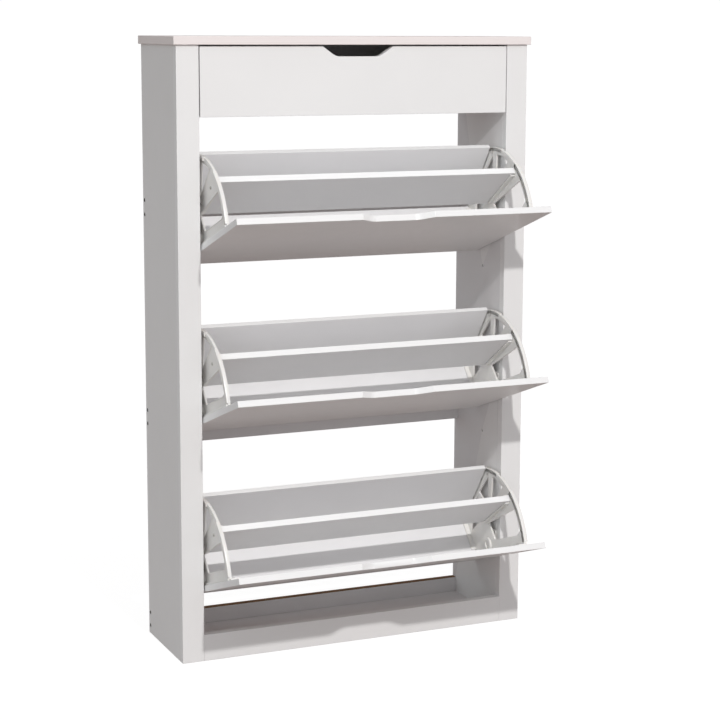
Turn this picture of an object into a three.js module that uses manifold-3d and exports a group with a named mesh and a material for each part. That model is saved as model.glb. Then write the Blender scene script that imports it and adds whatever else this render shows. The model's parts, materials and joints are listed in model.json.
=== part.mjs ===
// Tall slim shoe cabinet: hollow side walls, one hand-cut drawer and three tip-out flaps.
// Millimetres, +Z up, +X to the right, the front towards -Y, the floor at Z = 0.
// The flaps stand open, each turned about its own pivot pins.

import * as THREE from 'three';
import { mergeVertices } from 'three/addons/utils/BufferGeometryUtils.js';
import Module from 'manifold-3d';

const wasm = await Module();
wasm.setup();

// ---- driving dimensions ----
const WIDTH = 730;            // over the side walls
const DEPTH = 215;            // front of the stiles to the rear edge
const CARCASS_HEIGHT = 1180;  // floor to the underside of the top panel
const BOARD = 16;             // outer boards
const INNER_BOARD = 12;       // linings, doors and drawer sides
const THIN_BOARD = 9;         // bottom, back and lower boards of a flap
const WALL = 44;              // full thickness of a hollow side wall
const TOP_OVERHANG = 6;
const PLINTH_HEIGHT = 52;

const FLAP_COUNT = 3;
const FLAP_PITCH = 330;
const DOOR_HEIGHT = 326;
const LOWEST_DOOR = 57;       // height of the lowest door's bottom edge
const DOOR_SIDE_GAP = 2;
const PIVOT_BACK = 27;        // pivot behind the closed door's face
const PIVOT_UP = 101;         // pivot above the closed door's bottom edge
const OPEN_ANGLE = THREE.MathUtils.degToRad(71);
const DIVIDER_TILT = THREE.MathUtils.degToRad(14);
const BACK_BOARD_TILT = THREE.MathUtils.degToRad(35);
const LOWER_BOARD_TILT = THREE.MathUtils.degToRad(22);

const CUT_TOP = 146;          // hand cut-out, at the board's edge
const CUT_BOTTOM = 92;
const CUT_DEPTH = 19;
const CUT_ROUND = 7;

const RAIL_HEIGHT = 70;
const REAR_BOTTOM_RAIL_TOP = 40;
const MIDDLE_RAIL_Z = 390;
const UPPER_RAIL_Z = 820;
const TOP_RAIL_Z = 1100;

const DRAWER_FRONT_Z = 1047;
const DRAWER_FRONT_HEIGHT = 130;
const DRAWER_BOX_HALF = 305;
const DRAWER_BOX_Z = 1064;
const DRAWER_BOX_HEIGHT = 90;
const DRAWER_BOX_BACK = 190;
const DRAWER_BOTTOM = 4;      // thickness of the drawer's bottom, and its height in the box
const CHANNEL_Z = 1085;
const CHANNEL_HEIGHT = 30;
const CHANNEL_WALL = 3;
const RUNNER_GAP = 1;

// The origin lies under the middle of the plinth's thickness.
const FRONT = -BOARD / 2;
const REAR = FRONT + DEPTH;
const HALF = WIDTH / 2;
const INNER_FACE = HALF - WALL;
const SIDES = [['left', -1], ['right', 1]];

// ---- finishes ----
function finish(color, roughness, metalness = 0) {
  return new THREE.MeshStandardMaterial({ color, roughness, metalness });
}
const whiteBoard = () => finish(0xe8e6e5, 0.42);
const topBoard = () => finish(0xe9e1df, 0.4);
const innerBoard = () => finish(0xdfdddc, 0.5);
const whitePlastic = () => finish(0xe6e3df, 0.35);
const greyPlastic = () => finish(0xcfcdca, 0.45);
const runnerSteel = () => finish(0xd8d8d8, 0.4, 0.4);

// ---- solids ----
function toSolid(geometry) {
  geometry.deleteAttribute('normal');
  geometry.deleteAttribute('uv');
  const merged = mergeVertices(geometry, 1e-4);
  return new wasm.Manifold(new wasm.Mesh({
    numProp: 3,
    vertProperties: merged.attributes.position.array,
    triVerts: new Uint32Array(merged.index.array),
  }));
}

function toGeometry(solid) {
  const mesh = solid.getMesh();
  const geometry = new THREE.BufferGeometry();
  geometry.setAttribute('position', new THREE.BufferAttribute(mesh.vertProperties, 3));
  geometry.setIndex(new THREE.BufferAttribute(mesh.triVerts, 1));
  geometry.computeVertexNormals();
  return geometry;
}

function join(solids) {
  return solids.reduce((whole, piece) => whole.add(piece));
}

function cut(solid, tools) {
  return tools.reduce((rest, tool) => rest.subtract(tool), solid);
}

// A box from one corner to the other.
function box(x0, x1, y0, y1, z0, z1) {
  const geometry = new THREE.BoxGeometry(Math.abs(x1 - x0), y1 - y0, z1 - z0);
  geometry.translate((x0 + x1) / 2, (y0 + y1) / 2, (z0 + z1) / 2);
  return geometry;
}

// A slab whose outline lies in the Y-Z plane and which runs along X between two planes.
const SIDEWAYS = new THREE.Matrix4().makeBasis(
  new THREE.Vector3(0, 1, 0),
  new THREE.Vector3(0, 0, 1),
  new THREE.Vector3(1, 0, 0),
);
function slab(shape, xa, xb, curveSegments = 10) {
  const low = Math.min(xa, xb);
  const depth = Math.abs(xb - xa);
  const geometry = new THREE.ExtrudeGeometry(shape, { depth, bevelEnabled: false, curveSegments });
  geometry.applyMatrix4(SIDEWAYS);
  geometry.translate(low, 0, 0);
  return toSolid(geometry);
}

// A round bar along X.
function bar(y, z, radius, xa, xb, sides = 24) {
  const geometry = new THREE.CylinderGeometry(radius, radius, Math.abs(xb - xa), sides);
  geometry.rotateZ(Math.PI / 2);
  geometry.translate((xa + xb) / 2, y, z);
  return toSolid(geometry);
}

// A round bar along Y.
function pegAlongY(x, z, radius, ya, yb, sides = 8) {
  const geometry = new THREE.CylinderGeometry(radius, radius, Math.abs(yb - ya), sides);
  geometry.translate(x, (ya + yb) / 2, z);
  return toSolid(geometry);
}

function polygon(points) {
  return new THREE.Shape(points.map(([y, z]) => new THREE.Vector2(y, z)));
}

function part(name, geometry, material) {
  const mesh = new THREE.Mesh(geometry, material);
  mesh.name = name;
  return mesh;
}

// ---- carcass ----
function topPanel() {
  const reach = HALF + TOP_OVERHANG;
  const panel = box(-reach, reach, FRONT - TOP_OVERHANG, REAR, CARCASS_HEIGHT, CARCASS_HEIGHT + BOARD);
  return part('top_panel', panel, topBoard());
}

function flapBottom(index) {
  return LOWEST_DOOR + index * FLAP_PITCH;
}

function sideWall(side, sign) {
  const behindStile = FRONT + BOARD;
  const outer = box(sign * (HALF - BOARD), sign * HALF, behindStile, REAR, 0, CARCASS_HEIGHT);
  const stile = box(sign * INNER_FACE, sign * HALF, FRONT, behindStile, 0, CARCASS_HEIGHT);
  const hollowFrom = sign * (INNER_FACE + INNER_BOARD);
  const hollowTo = sign * (HALF - BOARD);
  const rearBatten = box(hollowFrom, hollowTo, REAR - BOARD, REAR, 0, CARCASS_HEIGHT);
  const footBatten = box(hollowFrom, hollowTo, behindStile, REAR - BOARD, 0, BOARD);
  return [
    part(`${side}_side_panel`, outer, whiteBoard()),
    part(`${side}_front_stile`, stile, whiteBoard()),
    part(`${side}_inner_panel`, innerPanel(sign, behindStile), innerBoard()),
    part(`${side}_rear_batten`, rearBatten, innerBoard()),
    part(`${side}_foot_batten`, footBatten, innerBoard()),
  ];
}

const SOCKET_RADIUS = 8;
const SOCKET_CLEARANCE = 0.5;

// The lining of a side wall, bored for the three pivot sockets.
function innerPanel(sign, behindStile) {
  const lining = box(
    sign * INNER_FACE,
    sign * (INNER_FACE + INNER_BOARD),
    behindStile,
    REAR,
    0,
    CARCASS_HEIGHT,
  );
  const bores = [];
  for (let index = 0; index < FLAP_COUNT; index += 1) {
    const z = flapBottom(index) + PIVOT_UP;
    bores.push(bar(
      FRONT + PIVOT_BACK,
      z,
      SOCKET_RADIUS + SOCKET_CLEARANCE,
      sign * (INNER_FACE - 1),
      sign * (INNER_FACE + INNER_BOARD + 1),
      16,
    ));
  }
  return toGeometry(cut(toSolid(lining), bores));
}

function crossRails() {
  const rail = (name, y0, y1, z0, z1, material) => part(
    name,
    box(-INNER_FACE, INNER_FACE, y0, y1, z0, z1),
    material,
  );
  const railFront = REAR - BOARD;
  const deckBottom = DRAWER_FRONT_Z + 2;
  return [
    rail('plinth_rail', FRONT, FRONT + BOARD, 0, PLINTH_HEIGHT, whiteBoard()),
    rail('bottom_board', FRONT + BOARD, railFront, 0, THIN_BOARD, innerBoard()),
    rail('rear_bottom_rail', railFront, REAR, 0, REAR_BOTTOM_RAIL_TOP, innerBoard()),
    rail('rear_middle_rail', railFront, REAR, MIDDLE_RAIL_Z, MIDDLE_RAIL_Z + RAIL_HEIGHT, innerBoard()),
    rail('rear_upper_rail', railFront, REAR, UPPER_RAIL_Z, UPPER_RAIL_Z + RAIL_HEIGHT, innerBoard()),
    rail('rear_top_rail', railFront, REAR, TOP_RAIL_Z, CARCASS_HEIGHT, innerBoard()),
    rail('drawer_deck', FRONT + BOARD + 4, railFront, deckBottom, deckBottom + INNER_BOARD, innerBoard()),
  ];
}

// ---- pivot plates: socket for the pin and a peg that stops the open flap ----
const PLATE_THICKNESS = 3;
const PIN_RADIUS = 5;
const PIN_CLEARANCE = 0.3;
const PEG_RADIUS = 4;
const PEG_REACH = 38;         // from the pivot to the stop peg
const PEG_LENGTH = 5;
const STOP_GAP = 0.5;
const STOP_RIB = 4;
const STOP_RIB_ANGLE = THREE.MathUtils.degToRad(-60);

function stopPegAngle() {
  const spread = (STOP_RIB / 2 + PEG_RADIUS + STOP_GAP) / PEG_REACH;
  return STOP_RIB_ANGLE + OPEN_ANGLE + spread;
}

function pivotPlate(sign) {
  const face = sign * INNER_FACE;
  const inward = sign * (INNER_FACE - PLATE_THICKNESS);
  const outline = roundedRectangle(-12, 49, -9.5, 31, 5);
  const angle = stopPegAngle();
  const pegY = PEG_REACH * Math.cos(angle);
  const pegZ = PEG_REACH * Math.sin(angle);
  const body = join([
    slab(outline, inward, face, 2),
    bar(0, 0, SOCKET_RADIUS, inward, sign * (INNER_FACE + SOCKET_RADIUS), 16),
    bar(pegY, pegZ, PEG_RADIUS, inward, sign * (INNER_FACE - PLATE_THICKNESS - PEG_LENGTH), 12),
  ]);
  const through = [sign * (INNER_FACE - PLATE_THICKNESS - 1), sign * (INNER_FACE + 1)];
  const screwHoles = [[-4, 23], [43, -3], [20, 25]].map(
    ([y, z]) => bar(y, z, 2.2, through[0], through[1], 8),
  );
  const pinHole = bar(
    0,
    0,
    PIN_RADIUS + PIN_CLEARANCE,
    sign * (INNER_FACE - PLATE_THICKNESS - 1),
    sign * (INNER_FACE + SOCKET_RADIUS - 1),
    16,
  );
  return toGeometry(cut(body, [pinHole, ...screwHoles]));
}

function roundedRectangle(y0, y1, z0, z1, radius) {
  const shape = new THREE.Shape();
  shape.moveTo(y0 + radius, z0);
  shape.lineTo(y1 - radius, z0);
  shape.absarc(y1 - radius, z0 + radius, radius, -Math.PI / 2, 0);
  shape.lineTo(y1, z1 - radius);
  shape.absarc(y1 - radius, z1 - radius, radius, 0, Math.PI / 2);
  shape.lineTo(y0 + radius, z1);
  shape.absarc(y0 + radius, z1 - radius, radius, Math.PI / 2, Math.PI);
  shape.lineTo(y0, z0 + radius);
  shape.absarc(y0 + radius, z0 + radius, radius, Math.PI, 1.5 * Math.PI);
  return shape;
}

function pivotPlates() {
  const plates = [];
  for (let index = 0; index < FLAP_COUNT; index += 1) {
    for (const [side, sign] of SIDES) {
      const plate = part(`flap_${index + 1}_${side}_pivot_plate`, pivotPlate(sign), greyPlastic());
      plate.position.set(0, FRONT + PIVOT_BACK, flapBottom(index) + PIVOT_UP);
      plates.push(plate);
    }
  }
  return plates;
}

// ---- hand cut-out in the upper edge of a front ----
function handCut(height, thickness) {
  const shape = new THREE.Shape();
  const top = CUT_TOP / 2;
  const low = CUT_BOTTOM / 2;
  const above = height + 5;
  const slope = (top - low) / CUT_DEPTH;
  const bottom = height - CUT_DEPTH;
  shape.moveTo(-top - 5 * slope, above);
  shape.lineTo(-low - CUT_ROUND * slope, bottom + CUT_ROUND);
  shape.quadraticCurveTo(-low, bottom, -low + CUT_ROUND, bottom);
  shape.lineTo(low - CUT_ROUND, bottom);
  shape.quadraticCurveTo(low, bottom, low + CUT_ROUND * slope, bottom + CUT_ROUND);
  shape.lineTo(top + 5 * slope, above);
  const depth = thickness + 2;
  const geometry = new THREE.ExtrudeGeometry(shape, { depth, bevelEnabled: false, curveSegments: 6 });
  geometry.rotateX(Math.PI / 2);
  geometry.translate(0, thickness + 1, 0);
  return toSolid(geometry);
}

function cutFront(halfWidth, height, thickness) {
  const panel = toSolid(box(-halfWidth, halfWidth, 0, thickness, 0, height));
  return toGeometry(panel.subtract(handCut(height, thickness)));
}

// ---- drawer ----
function drawerChannel(sign) {
  const outer = INNER_FACE;
  const inner = outer - INNER_BOARD;
  const top = CHANNEL_Z + CHANNEL_HEIGHT;
  const y0 = FRONT + BOARD + 4;
  const y1 = FRONT + DRAWER_BOX_BACK;
  const block = toSolid(box(sign * inner, sign * outer, y0, y1, CHANNEL_Z, top));
  const groove = toSolid(box(
    sign * (inner - 1),
    sign * (outer - CHANNEL_WALL),
    y0 - 1,
    y1 - CHANNEL_WALL,
    CHANNEL_Z + CHANNEL_WALL,
    top - CHANNEL_WALL,
  ));
  return toGeometry(block.subtract(groove));
}

function drawerRunner(sign) {
  const low = CHANNEL_Z + CHANNEL_WALL + RUNNER_GAP;
  const high = CHANNEL_Z + CHANNEL_HEIGHT - CHANNEL_WALL - RUNNER_GAP;
  const tip = INNER_FACE - CHANNEL_WALL - RUNNER_GAP;
  const y0 = FRONT + BOARD + 5;
  const y1 = FRONT + DRAWER_BOX_BACK - CHANNEL_WALL - 2;
  const foot = toSolid(box(sign * DRAWER_BOX_HALF, sign * (DRAWER_BOX_HALF + 2), y0, y1, low, high));
  const blade = toSolid(box(sign * (DRAWER_BOX_HALF + 1), sign * tip, y0, y1, low, low + 4));
  const radius = (high - low) / 2;
  const wheel = bar(y1 - radius, (low + high) / 2, radius, sign * (DRAWER_BOX_HALF + 1), sign * tip, 20);
  return toGeometry(join([foot, blade, wheel]));
}

function drawer() {
  const group = new THREE.Group();
  const halfFront = INNER_FACE - DOOR_SIDE_GAP;
  const front = part('drawer_front', cutFront(halfFront, DRAWER_FRONT_HEIGHT, BOARD), whiteBoard());
  front.position.set(0, FRONT, DRAWER_FRONT_Z);
  group.add(front);
  const boxFront = FRONT + BOARD;
  const boxRear = FRONT + DRAWER_BOX_BACK;
  const boxTop = DRAWER_BOX_Z + DRAWER_BOX_HEIGHT;
  const innerHalf = DRAWER_BOX_HALF - INNER_BOARD;
  for (const [side, sign] of SIDES) {
    const panel = box(sign * innerHalf, sign * DRAWER_BOX_HALF, boxFront, boxRear, DRAWER_BOX_Z, boxTop);
    group.add(part(`drawer_${side}_side`, panel, innerBoard()));
    group.add(part(`drawer_${side}_runner`, drawerRunner(sign), runnerSteel()));
  }
  const backFace = boxRear - INNER_BOARD;
  const bottomZ = DRAWER_BOX_Z + DRAWER_BOTTOM;
  const back = box(-innerHalf, innerHalf, backFace, boxRear, DRAWER_BOX_Z, boxTop);
  const bottom = box(-innerHalf, innerHalf, boxFront, backFace, bottomZ, bottomZ + DRAWER_BOTTOM);
  group.add(part('drawer_back', back, innerBoard()));
  group.add(part('drawer_bottom', bottom, innerBoard()));
  return group;
}

function drawerChannels() {
  return SIDES.map(([side, sign]) => part(`${side}_drawer_channel`, drawerChannel(sign), runnerSteel()));
}

// ---- flap ----
// Outlines below are drawn with the flap closed: y is the depth behind the door's face and z the height
// above the door's bottom edge. The divider and the back board lean back, and the lower board slopes.
const leaning = (tilt) => ({
  along: [-Math.sin(tilt), -Math.cos(tilt)],
  across: [Math.cos(tilt), -Math.sin(tilt)],
});
const sloping = (tilt) => ({
  along: [Math.cos(tilt), -Math.sin(tilt)],
  across: [-Math.sin(tilt), -Math.cos(tilt)],
});
const DIVIDER = {
  corner: [104.5, 224.5],
  length: 126,
  thickness: INNER_BOARD,
  ...leaning(DIVIDER_TILT),
};
const BACK_BOARD = {
  corner: [181, 137],
  length: 122,
  thickness: THIN_BOARD,
  ...leaning(BACK_BOARD_TILT),
};
const LOWER_BOARD = {
  corner: [16, 38],
  length: 82,
  thickness: THIN_BOARD,
  ...sloping(LOWER_BOARD_TILT),
};
const BRACKET_FACE = 309;     // inner face of a bracket's web
const WEB = 3;
const STAND_OFF = 7.5;        // how far the rim's ridges and the hub reach towards the side wall
const SCREW_HOLE = 2;         // radius
const BOARD_END = BRACKET_FACE - 0.5;
const RIM_RADIUS = 158;
const RIM_WIDTH = 7;
const ARC_STEPS = 9;

function offsetPoint([y, z], along, a, across, b) {
  return [y + along[0] * a + across[0] * b, z + along[1] * a + across[1] * b];
}

// A point given by its distances along a board's section and across it.
function onBoard({ corner, along, across }, a, b) {
  return offsetPoint(corner, along, a, across, b);
}

// Corners of a board's section, grown or shifted by the given amounts.
function boardSection({ corner, length, thickness, along, across }, start = 0, end = 0, near = 0, far = 0) {
  return [
    offsetPoint(corner, along, start, across, near),
    offsetPoint(corner, along, length + end, across, near),
    offsetPoint(corner, along, length + end, across, thickness + far),
    offsetPoint(corner, along, start, across, thickness + far),
  ];
}

function flapBoard(name, board) {
  const solid = slab(polygon(boardSection(board)), -BOARD_END, BOARD_END);
  return part(name, toGeometry(solid), innerBoard());
}

function ringSector(inner, outer, from, to) {
  const shape = new THREE.Shape();
  shape.absarc(PIVOT_BACK, PIVOT_UP, outer, from, to, false);
  shape.absarc(PIVOT_BACK, PIVOT_UP, inner, to, from, true);
  shape.closePath();
  return shape;
}

const deg = THREE.MathUtils.degToRad;
const RIM_FROM = deg(9);
const RIM_TO = deg(94.5);
const REAR_SPOKE = deg(20);

// The fan-shaped web, before its windows are cut.
function webShape() {
  const shape = new THREE.Shape();
  shape.moveTo(13, 52);
  shape.lineTo(13, PIVOT_UP + 150);
  shape.absarc(PIVOT_BACK, PIVOT_UP, RIM_RADIUS, RIM_TO, RIM_FROM, true);
  shape.lineTo(...onBoard(BACK_BOARD, 6, BACK_BOARD.thickness + 4));
  shape.lineTo(...onBoard(BACK_BOARD, BACK_BOARD.length, BACK_BOARD.thickness + 4));
  shape.lineTo(...onBoard(BACK_BOARD, BACK_BOARD.length + 4, BACK_BOARD.thickness - 14));
  const lower = boardSection(LOWER_BOARD, 6, 3, 0, 3);
  shape.lineTo(...lower[1]);
  shape.lineTo(...lower[2]);
  shape.lineTo(...lower[3]);
  return shape;
}

// Between the door arm and the divider arm.
function frontWindow() {
  const inner = RIM_RADIUS - RIM_WIDTH - 1;
  const shape = new THREE.Shape();
  shape.moveTo(34, 132);
  shape.lineTo(34, PIVOT_UP + 130);
  shape.absarc(PIVOT_BACK, PIVOT_UP, inner - 4, deg(84), deg(66), true);
  shape.lineTo(...onBoard(DIVIDER, DIVIDER.length - 12, -7));
  return shape;
}

// Between the divider arm and the rear spoke.
function rearWindow() {
  const inner = RIM_RADIUS - RIM_WIDTH - 5;
  const shape = new THREE.Shape();
  shape.moveTo(...onBoard(DIVIDER, 92, DIVIDER.thickness + 8));
  shape.absarc(PIVOT_BACK, PIVOT_UP, inner, deg(42), REAR_SPOKE + deg(3.5), true);
  return shape;
}

// Between the rear spoke and the back board arm.
function spokeWindow() {
  const along = [Math.cos(REAR_SPOKE), Math.sin(REAR_SPOKE)];
  const across = [-along[1], along[0]];
  return polygon([
    offsetPoint([PIVOT_BACK, PIVOT_UP], along, 78, across, -6),
    offsetPoint([PIVOT_BACK, PIVOT_UP], along, RIM_RADIUS - RIM_WIDTH - 9, across, -9),
    onBoard(BACK_BOARD, 64, -8),
  ]);
}

// Under the divider, between the hub and the back board arm.
function lowerWindow() {
  return polygon([
    onBoard(LOWER_BOARD, 44, -7),
    onBoard(BACK_BOARD, BACK_BOARD.length - 6, -9),
    onBoard(BACK_BOARD, 76, -8),
    onBoard(DIVIDER, DIVIDER.length + 8, 12),
  ]);
}

// Two lips that hold a board's end.
function boardLips(board, sign) {
  const lip = 2.5;
  const gap = 0.5;
  const short = 6;
  const faces = [BRACKET_FACE + 1, BRACKET_FACE - 9].map((x) => sign * x);
  const strip = { ...board, thickness: lip };
  return [-gap - lip, board.thickness + gap].map((shift) => {
    const points = boardSection(strip, short, -short, shift, shift);
    return slab(polygon(points), ...faces);
  });
}

// Foot flange that lies against the door's inner face.
function doorFlange(sign) {
  const near = INNER_BOARD + 0.5;
  const strip = (thickness, low, high, xa, xb) => slab(
    polygon([[near, low], [near + thickness, low], [near + thickness, high], [near, high]]),
    sign * xa,
    sign * xb,
  );
  return [
    strip(WEB, 226, 262, BRACKET_FACE - 14, BRACKET_FACE + WEB),
    strip(WEB, 60, 112, BRACKET_FACE - 14, BRACKET_FACE + WEB),
    strip(WEB + 1, 52, 255, BRACKET_FACE, BRACKET_FACE + STAND_OFF - 0.5),
  ];
}

// A straight strip that runs out from the pivot at an angle.
function spoke(angle, from, length, width) {
  const along = [Math.cos(angle), Math.sin(angle)];
  const across = [-Math.sin(angle), Math.cos(angle)];
  const corner = offsetPoint([PIVOT_BACK, PIVOT_UP], along, from, across, -width / 2);
  return polygon(boardSection({ corner, length, thickness: width, along, across }));
}

// A round knob on the rim, at the lower end of its rear ridge.
function rimKnob(sign) {
  const angle = deg(15);
  const radius = RIM_RADIUS - RIM_WIDTH - 1;
  const y = PIVOT_BACK + radius * Math.cos(angle);
  const z = PIVOT_UP + radius * Math.sin(angle);
  return bar(y, z, 6, sign * BRACKET_FACE, sign * (BRACKET_FACE + STAND_OFF), 12);
}

function bracket(sign) {
  const face = sign * BRACKET_FACE;
  const webFar = BRACKET_FACE + WEB;
  const ribFace = sign * (webFar - 1);
  const ribTop = sign * (webFar + 2);
  const standOff = sign * (BRACKET_FACE + STAND_OFF);
  const rimInner = RIM_RADIUS - RIM_WIDTH;
  const pegClear = PEG_REACH + PEG_RADIUS + 6;
  const rearRidge = ringSector(rimInner, RIM_RADIUS + 1, deg(10), deg(30));
  const frontRidge = ringSector(rimInner - 2, RIM_RADIUS + 1, deg(52), deg(93));
  const pieces = [
    slab(webShape(), face, sign * webFar, ARC_STEPS),
    slab(ringSector(rimInner, RIM_RADIUS, RIM_FROM, RIM_TO), face, ribTop, ARC_STEPS),
    slab(rearRidge, face, standOff, 3),
    slab(frontRidge, face, standOff, 5),
    slab(spoke(REAR_SPOKE, pegClear, rimInner + 2 - pegClear, 4), ribFace, ribTop),
    slab(spoke(STOP_RIB_ANGLE, 8, PEG_REACH, STOP_RIB), ribFace, standOff),
    bar(PIVOT_BACK, PIVOT_UP, 14, sign * (BRACKET_FACE - 4), standOff, 20),
    bar(PIVOT_BACK, PIVOT_UP, PIN_RADIUS, sign * (BRACKET_FACE + 6), sign * (INNER_FACE + 6), 16),
    rimKnob(sign),
    ...boardLips(DIVIDER, sign),
    ...boardLips(BACK_BOARD, sign),
    ...boardLips(LOWER_BOARD, sign),
    ...doorFlange(sign),
  ];
  const windows = [frontWindow(), rearWindow(), spokeWindow(), lowerWindow()].map(
    (shape) => slab(shape, sign * (BRACKET_FACE - 20), sign * (BRACKET_FACE + 20), 3),
  );
  return toGeometry(cut(join(pieces), [...windows, ...bracketHoles(sign)]));
}

// Screw holes through the web into the board ends, and through the foot flange into the door.
function bracketHoles(sign) {
  const through = [sign * (BRACKET_FACE - 5), sign * (BRACKET_FACE + 12)];
  const intoEnd = ({ corner, along, length, across, thickness }, share) => {
    const [y, z] = offsetPoint(corner, along, length * share, across, thickness / 2);
    return bar(y, z, SCREW_HOLE, ...through, 8);
  };
  const flangeX = sign * (BRACKET_FACE - 8);
  const intoDoor = (z) => pegAlongY(flangeX, z, SCREW_HOLE, INNER_BOARD, INNER_BOARD + 6);
  return [
    intoEnd(DIVIDER, 0.25),
    intoEnd(DIVIDER, 0.75),
    intoEnd(BACK_BOARD, 0.3),
    intoEnd(BACK_BOARD, 0.8),
    intoEnd(LOWER_BOARD, 0.7),
    intoDoor(244),
    intoDoor(76),
    intoDoor(96),
  ];
}

function flap(index) {
  const group = new THREE.Group();
  const name = `flap_${index + 1}`;
  const bottom = flapBottom(index);
  group.position.set(0, FRONT + PIVOT_BACK, bottom + PIVOT_UP);
  group.rotation.x = OPEN_ANGLE;
  const contents = new THREE.Group();
  contents.position.set(0, -PIVOT_BACK, -PIVOT_UP);
  const door = cutFront(INNER_FACE - DOOR_SIDE_GAP, DOOR_HEIGHT, INNER_BOARD);
  contents.add(part(`${name}_door`, door, whiteBoard()));
  contents.add(flapBoard(`${name}_divider`, DIVIDER));
  contents.add(flapBoard(`${name}_back_board`, BACK_BOARD));
  contents.add(flapBoard(`${name}_lower_board`, LOWER_BOARD));
  for (const [side, sign] of SIDES) {
    contents.add(part(`${name}_${side}_bracket`, bracket(sign), whitePlastic()));
  }
  group.add(contents);
  return group;
}

// ---- the whole cabinet ----
const cabinet = new THREE.Group();
cabinet.add(topPanel());
for (const [side, sign] of SIDES) {
  cabinet.add(...sideWall(side, sign));
}
cabinet.add(...crossRails());
cabinet.add(...pivotPlates());
cabinet.add(...drawerChannels());
cabinet.add(drawer());
for (let index = 0; index < FLAP_COUNT; index += 1) {
  cabinet.add(flap(index));
}

export default cabinet;
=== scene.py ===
import json
import math

import bmesh
import bpy
from mathutils import Matrix, Vector


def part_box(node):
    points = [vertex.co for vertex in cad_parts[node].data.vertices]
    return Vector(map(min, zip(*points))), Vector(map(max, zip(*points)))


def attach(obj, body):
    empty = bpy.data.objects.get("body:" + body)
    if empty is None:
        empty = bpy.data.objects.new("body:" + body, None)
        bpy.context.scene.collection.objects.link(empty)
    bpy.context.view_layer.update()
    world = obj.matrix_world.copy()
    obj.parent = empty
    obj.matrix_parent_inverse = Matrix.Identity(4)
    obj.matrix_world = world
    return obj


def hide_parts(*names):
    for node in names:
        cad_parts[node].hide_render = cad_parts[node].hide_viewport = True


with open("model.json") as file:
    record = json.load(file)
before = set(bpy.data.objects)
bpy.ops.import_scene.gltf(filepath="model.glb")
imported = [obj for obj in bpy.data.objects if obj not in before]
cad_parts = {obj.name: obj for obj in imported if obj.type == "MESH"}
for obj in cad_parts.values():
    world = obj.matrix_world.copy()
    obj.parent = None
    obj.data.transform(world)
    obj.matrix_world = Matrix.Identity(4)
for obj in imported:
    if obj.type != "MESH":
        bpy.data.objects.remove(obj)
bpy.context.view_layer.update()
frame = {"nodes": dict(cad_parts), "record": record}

bl_info = {
    "name": "Shoe cabinet",
    "version": (1, 0, 0),
    "blender": (4, 5, 0),
    "location": "View3D > Sidebar > Shoe cabinet",
    "description": "Finishes the boards, swing brackets and fittings of a tip-out shoe cabinet",
    "category": "Object",
}

# ---- dimensions, in millimetres unless a name says otherwise ----
MM = 0.001
SIDES = (("left", -1), ("right", 1))
FLAPS = (1, 2, 3)

PIVOT = (27.0, 101.0)          # behind the closed door's face, above its lower edge
OPEN_ANGLE = math.radians(71)
DIVIDER_TILT = math.radians(14)
BACK_BOARD_TILT = math.radians(35)
LOWER_BOARD_TILT = math.radians(22)
INNER_FACE = 321.0             # inner face of a side wall
PLATE = 3.0
BRACKET_FACE = 309.0           # inner face of a bracket's web
WEB = 3.0
STAND_OFF = 7.5
RIM_RADIUS = 158.0
RIM_INNER = 151.0
PIN_RADIUS = 5.0
PEG_REACH = 38.0
PEG_RADIUS = 4.0
STOP_RIB_ANGLE = math.radians(-60)
ARC_STEP = math.radians(1.5)   # one step along a moulded arc
MOULD_EDGE = 0.35              # rounding of a moulded edge


def leaning(tilt):
    """Directions of a board that leans back: down along it, and backward across it."""
    return {
        "along": (-math.sin(tilt), -math.cos(tilt)),
        "across": (math.cos(tilt), -math.sin(tilt)),
    }


def sloping(tilt):
    """Directions of a board that slopes down to the rear, and down across it."""
    return {
        "along": (math.cos(tilt), -math.sin(tilt)),
        "across": (-math.sin(tilt), -math.cos(tilt)),
    }


DIVIDER = {"corner": (104.5, 224.5), "length": 126.0, "thickness": 12.0, **leaning(DIVIDER_TILT)}
BACK_BOARD = {"corner": (181.0, 137.0), "length": 122.0, "thickness": 9.0, **leaning(BACK_BOARD_TILT)}
LOWER_BOARD = {"corner": (16.0, 38.0), "length": 82.0, "thickness": 9.0, **sloping(LOWER_BOARD_TILT)}
REAR_SPOKE = math.radians(20)
PLATE_SCREWS = ((-4.0, 23.0), (43.0, -3.0), (20.0, 25.0))
RAIL_SCREW_HEIGHTS = (16.0, 43.0, 433.0, 460.0, 850.0, 878.0)
RAIL_SCREW_INSET = 8.0         # from the rear edge of a side
RAIL_SCREW_SINK = 0.0011       # depth of a head's foot under the face, in metres
RUNNER_ROUND = 0.0003          # rounding of a drawer runner's folds, in metres
SHELF_PIN_HOLES = ((86.0, 730.0), (78.0, 386.0))


# ---- settings a user would change ----
def color_property(name, description, default):
    return bpy.props.FloatVectorProperty(
        name=name, description=description, subtype="COLOR", size=3, min=0, max=1, default=default
    )


def length_property(name, description, default):
    return bpy.props.FloatProperty(name=name, description=description, unit="LENGTH", default=default)


class BoardSettings(bpy.types.PropertyGroup):
    edge_round: length_property("Edge rounding", "Radius of a board's long edges", 0.0006)
    top_round: length_property("Top rounding", "Radius of the top panel's edges", 0.0011)
    outer_color: color_property("Outer foil", "Foil on the sides and the fronts", (0.83, 0.825, 0.82))
    top_color: color_property("Top foil", "Foil on the top panel", (0.85, 0.79, 0.775))
    inner_color: color_property("Inner foil", "Melamine on the hidden and inner boards", (0.80, 0.793, 0.80))
    band_color: color_property("Edge band", "Band glued on the cut edges", (0.88, 0.877, 0.875))
    raw_color: color_property("Raw board", "Bare edges of the board", (0.16, 0.09, 0.045))
    foil_roughness: bpy.props.FloatProperty(
        name="Foil roughness", description="Roughness of the foil", min=0, max=1, default=0.36
    )


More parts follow.
